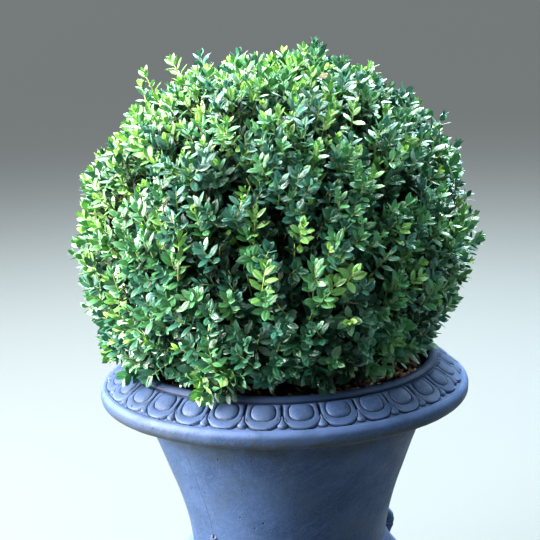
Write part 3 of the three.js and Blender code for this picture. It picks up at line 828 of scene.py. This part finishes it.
# How low the leaves hang, by degrees round from the middle of the front, right positive
low_edge_turns = (-180, -120, -62, -50, -32, -12, 16, 24, 45, 60, 100, 130, 180)
low_edge_heights = (0.506, 0.502, 0.500, 0.512, 0.512, 0.518, 0.522, 0.512, 0.520, 0.532, 0.530, 0.508, 0.506)

# How far in toward the axis the lowest leaves are drawn, as a share, by the same degrees
tuck_turns = (-62, -48, -12, 0, 40, 65, 105, 135)
tuck_shares = (0.0, 0.13, 0.13, 0.08, 0.08, 0.15, 0.15, 0.0)


def turns_of(points):
    """Degrees round the axis from the middle of the front."""
    angles = np.arctan2(points[:, 1], points[:, 0]) - front
    return np.degrees((angles + math.pi) % (2 * math.pi) - math.pi)


def crown_share(points):
    """How far out each point lies, from 0 at the crown's middle to 1 on its clipped surface."""
    off = points - crown_centre
    reach = np.where(off[:, 2] > 0, crown_above, crown_below)
    return np.sqrt((off[:, 0] ** 2 + off[:, 1] ** 2) / crown_radius ** 2 + (off[:, 2] / reach) ** 2)


# Where the clipping is uneven: degrees round the outline from its top as the camera sees it,
# right positive, and the share of the radius that is clipped off there
uneven_turns = (-180, -60, -45, -30, -15, -5, 4, 16, 26, 36, 45, 56, 180)
uneven_shares = (0, 0, 0.025, 0.038, 0.055, 0.085, 0.060, 0.032, 0.040, 0.048, 0.020, 0, 0)


def clipped_off(points):
    """The share of the radius that the uneven clipping takes off toward each point."""
    aims = unit(points - crown_centre)
    rightward, upward = aims @ np.array(camera_right), aims @ np.array(camera_up)
    turns = np.degrees(np.arctan2(rightward, upward))
    return np.interp(turns, uneven_turns, uneven_shares) * np.hypot(rightward, upward) ** 4


def surface_points(amount, low_rise, jitter):
    """Points spread evenly over the clipped surface, from its top down to a low limit."""
    index = np.arange(amount)
    rise = 0.999 - (0.999 - low_rise) * index / (amount - 1)
    rise = np.clip(rise + jitter * growth.normal(size=amount), low_rise, 0.9999)
    angle = index * math.pi * (3 - math.sqrt(5)) + 2.2 * jitter * growth.normal(size=amount)
    radius = crown_radius * np.sqrt(1 - rise ** 2)
    reach = np.where(rise > 0, crown_above, crown_below)
    return crown_centre + np.stack([radius * np.cos(angle), radius * np.sin(angle), reach * rise], 1)


def waviness(points, scale, shift):
    """A smooth random value from about -1 to 1 at each point, with coarser waves for a lower scale."""
    return np.array([noise.noise(Vector(p) * scale + Vector((shift, 0, 0))) for p in points])


def nearest(points, hubs):
    """The hub nearest to each point."""
    return hubs[np.argmin(np.linalg.norm(points[:, None] - hubs[None], axis=2), axis=1)]


def rods(starts, ends, root_radius):
    """Placing matrices that stretch a unit rod between two arrays of points."""
    along = ends - starts
    across = unit(np.cross(along, np.array([0.31, 0.17, 0.93])))
    other = unit(np.cross(along, across))
    return frames_of(starts, across * root_radius[:, None], other * root_radius[:, None], along)


def tapering_rod(sides, tip_share):
    """A unit rod that stands on the origin, thinner at its tip."""
    rod = bmesh.new()
    bmesh.ops.create_cone(rod, cap_ends=True, segments=sides, radius1=1.0, radius2=tip_share, depth=1.0)
    bmesh.ops.translate(rod, verts=rod.verts, vec=(0, 0, 0.5))
    return rod


stem_points = np.array([[0, 0, z] for z in (0.5253, 0.575, 0.625, 0.675)])
hubs = np.concatenate([np.array([tuple(tip) for tip in bough_tips]), stem_points[1:]])
limb_ends = crown_centre + (surface_points(34, -0.42, 0.02) - crown_centre) * 0.48
fork_ends = crown_centre + (surface_points(260, -0.50, 0.01) - crown_centre) * 0.74

outer_layer, middle_layer, inner_layer, proud_layer, hanging_layer = range(5)
layers = []
for amount, low_share, high_share, jitter in (
    (1700, 0.93, 0.99, 0.010),
    (1100, 0.85, 0.91, 0.012),
    (800, 0.72, 0.82, 0.015),
):
    points = surface_points(amount, -0.53, jitter)
    lump = waviness(points, 13.0, 3.0)
    share = low_share + (high_share - low_share) * growth.random(amount) + 0.034 * lump - clipped_off(points)
    layers.append(crown_centre + (points - crown_centre) * share[:, None])

# The outermost layer has gaps that show the darker leaves inside
filled = waviness(layers[outer_layer], 26.0, 8.0) > -0.08
layers[outer_layer] = layers[outer_layer][filled]

# Shoots that stand proud: degrees round the outline from its top as the camera sees it, degrees
# toward the camera from the outline, and the share of the surface that the tip reaches
proud = np.array([
    (-39, 9, 1.060), (-42, 12, 1.025), (-31, 9, 1.030), (-23, 9, 0.985), (-12, 9, 0.935), (2, 9, 0.930),
    (8, 12, 0.965), (11, 9, 0.990), (13, 8, 0.975), (21, 9, 0.950), (29, 9, 0.975), (42, 9, 0.975),
    (54, 9, 1.030), (63, 9, 1.015), (90, 8, 1.015), (92, 12, 1.000), (-73, 8, 1.005), (-95, 7, 1.025),
    (-92, 12, 1.010), (-110, 6, 1.005), (20, -60, 1.01), (-70, -50, 1.02), (70, -40, 1.02),
    (105, -45, 1.01), (-115, -50, 1.01), (-20, -35, 0.98), (150, -80, 1.01), (40, -75, 1.01),
])
proud_turns, proud_leans = np.radians(proud[:, 0]), np.radians(proud[:, 1])
proud_aims = (
    (np.sin(proud_turns) * np.cos(proud_leans))[:, None] * np.array(camera_right)
    + (np.cos(proud_turns) * np.cos(proud_leans))[:, None] * np.array(camera_up)
    - np.sin(proud_leans)[:, None] * np.array(ahead)
)
proud_reach = proud[:, 2] / crown_share(crown_centre + proud_aims)
layers.append(crown_centre + proud_aims * proud_reach[:, None])

# Shoots that hang over the lip: degrees round from the front, radius and height of the tip,
# and which of the leaf colours they have
shade, deep, blue, mid, bright, young, straw, orange = range(8)
hanging = np.array([
    (-28, 0.230, 0.527, bright), (-20, 0.230, 0.535, bright), (-27.5, 0.236, 0.507, bright),
    (-24.5, 0.238, 0.505, mid), (-18.5, 0.236, 0.513, shade), (-16, 0.224, 0.533, mid),
    (-33, 0.226, 0.527, deep), (12, 0.224, 0.528, shade), (14, 0.228, 0.519, shade),
    (10.5, 0.220, 0.531, deep), (-62, 0.240, 0.508, mid), (-84, 0.244, 0.516, bright),
    (-92, 0.252, 0.524, mid), (-52, 0.230, 0.512, deep), (170, 0.240, 0.505, mid),
    (205, 0.236, 0.504, deep),
])
hanging_angles = front + np.radians(hanging[:, 0])
layers.append(np.stack([
    hanging[:, 1] * np.cos(hanging_angles), hanging[:, 1] * np.sin(hanging_angles), hanging[:, 2],
], 1))

tips = np.concatenate(layers)
set_kind = np.full(len(tips), -1)
set_kind[-len(hanging):] = hanging[:, 3]
layer_of = np.concatenate([np.full(len(points), number) for number, points in enumerate(layers)])
edge_turns = turns_of(tips)
tucked = np.interp(edge_turns, tuck_turns, tuck_shares) * np.clip((0.600 - tips[:, 2]) / 0.08, 0, 1)
tucked[layer_of == hanging_layer] = 0
tips[:, :2] -= (tips[:, :2] - crown_centre[:2]) * tucked[:, None]
low_edge = np.interp(edge_turns, low_edge_turns, low_edge_heights)
kept = (tips[:, 2] > low_edge) | (layer_of == hanging_layer)
tips, layer_of, set_kind = tips[kept], layer_of[kept], set_kind[kept]

# Shoots point outward and up, most at mid height, and those over the lip droop
outward = unit(tips - crown_centre)
lift = np.interp(tips[:, 2], (0.50, 0.56, 0.70, 0.90), (0.25, 0.75, 0.90, 0.60))
lift = np.where(layer_of == hanging_layer, -0.35, lift)
axes = unit(outward + lift[:, None] * np.array([0, 0, 1.0]) + 0.30 * growth.normal(size=tips.shape))
hanging_sides = tips[:, :2] / np.linalg.norm(tips[:, :2], axis=1, keepdims=True)
droop = unit(np.concatenate([hanging_sides, np.full((len(tips), 1), -0.42)], 1))
axes = np.where((layer_of == hanging_layer)[:, None], droop, axes)
shoot_lengths = growth.uniform(0.042, 0.062, len(tips))
shoot_roots = tips - axes * shoot_lengths[:, None]


def above_urn(points, clear):
    """Whether each point is over the soil, lip, band and roll by at least the clear height."""
    radius = np.hypot(points[:, 0], points[:, 1])
    surface = np.interp(
        radius, (0.199, 0.201, 0.2165, 0.2175, 0.2530, 0.2600, 0.2610),
        (soil_top + 0.006, lip_top, lip_top, 0.4985, 0.4760, 0.4720, 0.0),
    )
    return points[:, 2] > surface + clear


clearance = 0.001
clear = above_urn(tips, clearance) & above_urn(shoot_roots, clearance)
clear &= above_urn((tips + shoot_roots) / 2, clearance)
tips, layer_of, set_kind, outward = tips[clear], layer_of[clear], set_kind[clear], outward[clear]
axes, shoot_lengths, shoot_roots = axes[clear], shoot_lengths[clear], shoot_roots[clear]
fork_of_shoot = nearest(shoot_roots, fork_ends)
limb_of_fork = nearest(fork_ends, limb_ends)
hub_of_limb = nearest(limb_ends, hubs)

old_wood = crumbly("old_shoot_bark", (0.070, 0.060, 0.045), (0.230, 0.200, 0.150), 60.0, 0.85, 0.001)
strewn("crown_stem_and_limbs", tapering_rod(8, 0.72), np.concatenate([
    rods(stem_points[:-1], stem_points[1:], np.array([0.0125, 0.0105, 0.0085])),
    rods(hub_of_limb, limb_ends, np.full(len(limb_ends), 0.0058)),
]), old_wood, "bark", "clipped_crown")
strewn("crown_forks", tapering_rod(5, 0.65), rods(limb_of_fork, fork_ends, np.full(len(fork_ends), 0.0034)),
       old_wood, "bark")

young_wood = plain_finish("young_green_wood", (0.240, 0.310, 0.075), 0.6)
strewn("crown_twigs", tapering_rod(3, 0.75), rods(fork_of_shoot, shoot_roots, np.full(len(tips), 0.0017)),
       old_wood, "bark")
strewn("crown_green_shoots", tapering_rod(3, 0.5), rods(shoot_roots, tips, np.full(len(tips), 0.0014)),
       young_wood, "bark")


# Leaves
# Small leathery leaves in opposite pairs, each pair turned a quarter from the last, widest at
# the middle with a blunt tip. The last pairs are young: smaller, paler and more upright.
def box_leaf(columns):
    """One leaf of unit length and width, sunk at its midrib, with its edges and tip turned down."""
    leaf = bmesh.new()
    bmesh.ops.create_grid(leaf, x_segments=4, y_segments=columns, size=1.0)
    stations = (0.0, 0.24, 0.52, 0.79, 1.0)
    half_widths = (0.0, 0.385, 0.50, 0.345, 0.0)
    for vert in leaf.verts:
        station = round((vert.co.x + 1) * 2)
        side = vert.co.y
        along = stations[station]
        half = half_widths[station]
        arch = half * (0.42 * abs(side) - 0.42 * side ** 2)
        vert.co = Vector((along, side * half, arch - 0.10 * along ** 2))
    bmesh.ops.remove_doubles(leaf, verts=leaf.verts, dist=1e-4)
    leaf.normal_update()
    bmesh.ops.reverse_faces(leaf, faces=[face for face in leaf.faces if face.normal.z < 0])
    midrib = [edge for edge in leaf.edges if all(abs(vert.co.y) < 1e-4 for vert in edge.verts)]
    bmesh.ops.split_edges(leaf, edges=midrib)
    return leaf


# For each pair down a shoot: distance from its tip, leaf length, and lean off the shoot in degrees
pair_places = np.array([0.0008, 0.0042, 0.0098, 0.0165, 0.0240, 0.0320, 0.0405, 0.0500])
pair_lengths = np.array([0.0090, 0.0135, 0.0175, 0.0195, 0.0200, 0.0195, 0.0190, 0.0180])
pair_leans = np.radians([12, 24, 36, 46, 54, 60, 66, 72])
pairs = len(pair_places)
shoots = len(tips)
hanging_size = 1.28
hanging_breadth = 1.15

first_turn = growth.uniform(0, math.pi, shoots)
vigour = growth.uniform(0.86, 1.14, shoots) * np.where(layer_of == hanging_layer, hanging_size, 1.0)
side_axis = unit(np.cross(axes, np.array([0.2, 0.1, 1.0])))
other_axis = np.cross(axes, side_axis)
roots, headings, faces_up, lengths, shoot_of, pair_of = [], [], [], [], [], []
for pair in range(pairs):
    for half in (0, 1):
        spin = first_turn + pair * math.pi / 2 + half * math.pi + 0.22 * growth.normal(size=shoots)
        lean = pair_leans[pair] + 0.16 * growth.normal(size=shoots)
        sideways = side_axis * np.cos(spin)[:, None] + other_axis * np.sin(spin)[:, None]
        heading = unit(axes * np.cos(lean)[:, None] + sideways * np.sin(lean)[:, None])
        upper = axes * np.sin(lean)[:, None] - sideways * np.cos(lean)[:, None]
        skyward = 0.30 * (outward + np.array([0, 0, 0.6])) * (pair > 1)
        upper = upper + skyward + 0.16 * growth.normal(size=axes.shape)
        upper = unit(upper - heading * np.sum(upper * heading, axis=1, keepdims=True))
        roots.append(tips - axes * pair_places[pair] + heading * 0.0008)
        headings.append(heading)
        faces_up.append(upper)
        lengths.append(pair_lengths[pair] * vigour * growth.uniform(0.88, 1.12, shoots))
        shoot_of.append(np.arange(shoots))
        pair_of.append(np.full(shoots, pair))
roots, headings, faces_up = np.concatenate(roots), np.concatenate(headings), np.concatenate(faces_up)
lengths, shoot_of, pair_of = np.concatenate(lengths), np.concatenate(shoot_of), np.concatenate(pair_of)

leaf_ends = roots + headings * lengths[:, None]
proud_limit = np.where(layer_of[shoot_of] == proud_layer, 1.16, 1.025)
grown = (pair_places[pair_of] < shoot_lengths[shoot_of] - 0.002) & (growth.random(len(roots)) > 0.035)
inside = crown_share(leaf_ends) + clipped_off(leaf_ends) < proud_limit
grown &= inside | (layer_of[shoot_of] == hanging_layer)
grown &= above_urn(leaf_ends, clearance) & above_urn((leaf_ends + roots) / 2, clearance)
grown &= above_urn(roots, 0.0)

# Painted light and shade: paler sprays toward the light and the right, darker ones inside and low at the
# front, where shade falls
sun_side = np.array(turn @ Vector((-0.68, 0.12, 0.72)).normalized())
right_side = np.array(turn @ Vector((0.80, -0.35, 0.05)).normalized())
sunlit = np.clip(outward @ sun_side, 0, 1)
brightness = sunlit + 0.55 * np.clip(outward @ right_side, 0, 1)
draw = growth.random(shoots)
spray_kind = np.select(
    [draw < 0.04 + 0.36 * brightness, draw < 0.44 + 0.30 * brightness, draw < 0.72 + 0.16 * brightness],
    [bright, mid, blue], deep,
)
spray_kind[(layer_of == middle_layer) & (growth.random(shoots) < 0.55)] = shade
spray_kind[layer_of == inner_layer] = shade
shade_turn, shade_half_width, shade_height = 1, 26, 0.640
low_front_shade = (np.abs(turns_of(tips) - shade_turn) < shade_half_width) & (tips[:, 2] < shade_height)
low_front_shade &= growth.random(shoots) < 0.8
spray_kind = np.where(low_front_shade, np.minimum(spray_kind, growth.integers(shade, blue, shoots)), spray_kind)
spray_kind = np.where(set_kind >= 0, set_kind, spray_kind)
leaf_kind = spray_kind[shoot_of]
# Young pale leaves are commoner toward the light, partly as painted light.
young_share = np.where(spray_kind == shade, 0.0, 0.04 + 0.48 * sunlit)[shoot_of]
leaf_kind = np.where((pair_of < 2) & (growth.random(shoots)[shoot_of] < young_share), young, leaf_kind)
dead_draw = growth.random(len(roots))
leaf_kind = np.where((dead_draw < 0.0016) & (pair_of > 2), straw, leaf_kind)
leaf_kind = np.where((dead_draw > 0.9993) & (pair_of > 2), orange, leaf_kind)

# The shade green is a darker copy of the leaf colour for leaves in painted shade.
# In the order of their numbers: name, colour, roughness and gloss
leaf_colours = (
    ("shade_green", (0.007, 0.040, 0.022), 0.50, 0.35),
    ("deep_green", (0.030, 0.160, 0.082), 0.41, 0.95),
    ("blue_green", (0.041, 0.184, 0.128), 0.41, 0.95),
    ("mid_green", (0.072, 0.274, 0.100), 0.41, 0.95),
    ("bright_green", (0.168, 0.402, 0.092), 0.41, 0.95),
    ("young_green", (0.300, 0.580, 0.110), 0.41, 0.85),
    ("dry_straw", (0.520, 0.370, 0.230), 0.70, 0.30),
    ("dry_orange", (0.380, 0.130, 0.035), 0.70, 0.30),
)
for kind, (name, colour, roughness, gloss) in enumerate(leaf_colours):
    finish = plain_finish(f"box_leaf_{name}", colour, roughness, gloss)
    columns, most_leaves = (2, 14000) if kind == shade else (4, 8000)
    chosen = np.flatnonzero(grown & (leaf_kind == kind))
    for batch in range(0, len(chosen), most_leaves):
        some = chosen[batch:batch + most_leaves]
        widths = lengths[some, None] * growth.uniform(0.45, 0.55, (len(some), 1))
        widths[layer_of[shoot_of[some]] == hanging_layer] *= hanging_breadth
        cross = np.cross(faces_up[some], headings[some])
        frames = frames_of(roots[some], headings[some] * lengths[some, None], cross * widths,
                           faces_up[some] * lengths[some, None])
        strewn(f"leaves_{name}_{batch // most_leaves + 1}", box_leaf(columns), frames, finish, "leaves")
